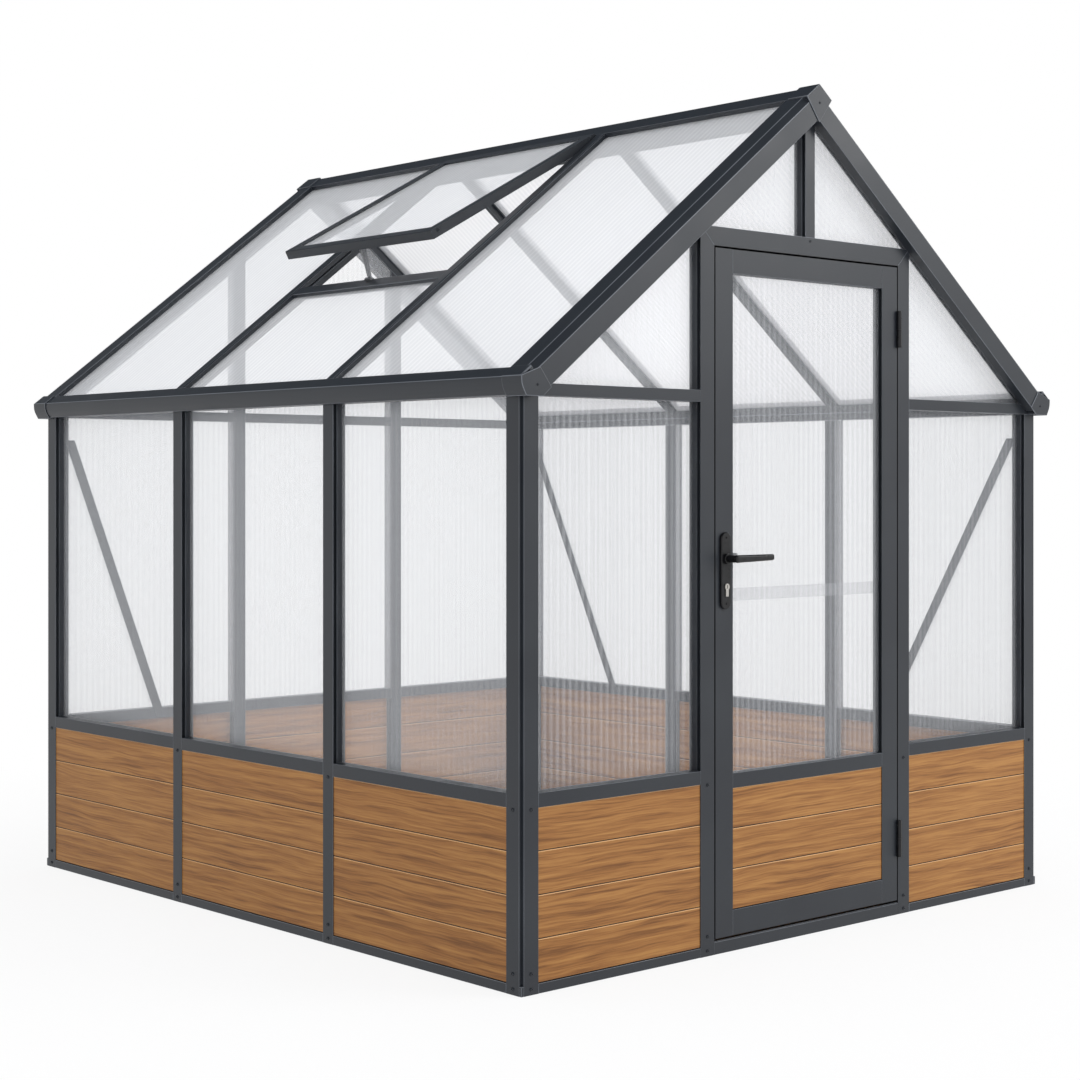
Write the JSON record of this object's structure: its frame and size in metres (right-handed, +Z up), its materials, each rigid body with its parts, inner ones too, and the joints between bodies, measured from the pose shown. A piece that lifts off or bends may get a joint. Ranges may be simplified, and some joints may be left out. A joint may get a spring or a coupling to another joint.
{
  "type": "gable roof greenhouse",
  "caption": "Walk-in greenhouse with a gable roof, dark metal frame, boarded lower walls, clear fluted sheets, a hinged door with lever handle, and a top-hung roof vent.",
  "frame": {"origin": "on the ground in the middle of the plan between the outer faces of the walls", "axes": "+Z up; the door gable faces -Y; the slope with the vent faces -X"},
  "size_m": [2.1064, 2.337, 2.2567],
  "materials": {
    "frame": "anthracite powder coat, satin",
    "boards": "brown wood grain, matt",
    "sheets": "clear twin-wall sheet with fine flutes",
    "handle": "black, satin",
    "hinges": "black, satin",
    "lock": "satin nickel",
    "stay": "bright zinc"
  },
  "bodies": {
    "frame": {"back_posts": "frame", "base_rails_ends": "frame", "base_rails_sides": "frame", "corner_feet": "frame", "corner_posts_back": "frame", "corner_posts_front": "frame", "diagonal_braces": "frame", "door_header": "frame", "door_jamb_hinge": "frame", "door_jamb_latch": "frame", "door_sill": "frame", "eave_beam_left": "frame", "eave_beam_right": "frame", "eave_end_caps": "frame", "gable_rails": "frame", "gable_sheets_back": "sheets", "gable_sheets_front": "sheets", "hinge_frame_halves": "hinges", "king_post": "frame", "mid_rails_ends": "frame", "mid_rails_sides": "frame", "ridge_beam": "frame", "ridge_end_caps": "frame", "roof_bars": "frame", "roof_sheets_left": "sheets", "roof_sheets_right": "sheets", "side_posts_left": "frame", "side_posts_right": "frame", "stay_rest": "stay", "strike_plate": "lock", "vent_transom": "frame", "verge_rafters": "frame", "wall_boards_back": "boards", "wall_boards_front": "boards", "wall_boards_left": "boards", "wall_boards_right": "boards", "wall_sheets_back": "sheets", "wall_sheets_front": "sheets", "wall_sheets_left": "sheets", "wall_sheets_right": "sheets"},
    "door": {"door_stiles": "frame", "door_rails": "frame", "door_boards": "boards", "door_sheet": "sheets", "door_crossbar": "sheets", "hinge_leaf_halves": "hinges", "handle_plates": "handle", "lock_case": "lock", "lock_cylinder": "lock"},
    "lever": {"door_lever": "handle"},
    "latch": {"latch_bolt": "lock"},
    "plug": {"cylinder_plug": "lock"},
    "bolt": {"dead_bolt": "lock"},
    "vent": {"stay_bracket": "stay", "vent_frame": "frame", "vent_sheet": "sheets"},
    "stay": {"vent_stay": "stay"}
  },
  "joints": [
    {"name": "door_hinge", "type": "hinge", "parent": "frame", "child": "door", "pos_m": [0.369, -1.1316, 0.9], "axis": [0, 0, 1], "range_deg": [0, 150]},
    {"name": "lever_turn", "type": "hinge", "parent": "door", "child": "lever", "pos_m": [-0.334, -1.109, 1.006], "axis": [0, 1, 0], "range_deg": [0, 40], "stiffness_Nm_per_rad": 2, "springref_deg": -20.05},
    {"name": "latch_slide", "type": "slide", "parent": "door", "child": "latch", "axis": [1, 0, 0], "range_m": [0, 0.0115]},
    {"name": "plug_turn", "type": "hinge", "parent": "door", "child": "plug", "pos_m": [-0.334, -1.133, 0.934], "axis": [0, 1, 0], "range_deg": [0, 360]},
    {"name": "bolt_slide", "type": "slide", "parent": "door", "child": "bolt", "axis": [-1, 0, 0], "range_m": [0, 0.0145]},
    {"name": "vent_hinge", "type": "hinge", "parent": "frame", "child": "vent", "pos_m": [-0.04474, 0, 2.21103], "axis": [0, 1, 0], "range_deg": [-9, 0]},
    {"name": "stay_turn", "type": "hinge", "parent": "vent", "child": "stay", "pos_m": [-0.63345, 0, 1.86181], "axis": [0, 1, 0], "range_deg": [-95, 0]}
  ],
  "couplings": [
    {"joint": "latch_slide", "follows": "lever_turn", "m_per_rad": 0.0162},
    {"joint": "bolt_slide", "follows": "plug_turn", "m_per_rad": 0.002228},
    {"joint": "stay_turn", "follows": "vent_hinge", "ratio": 10.5}
  ]
}
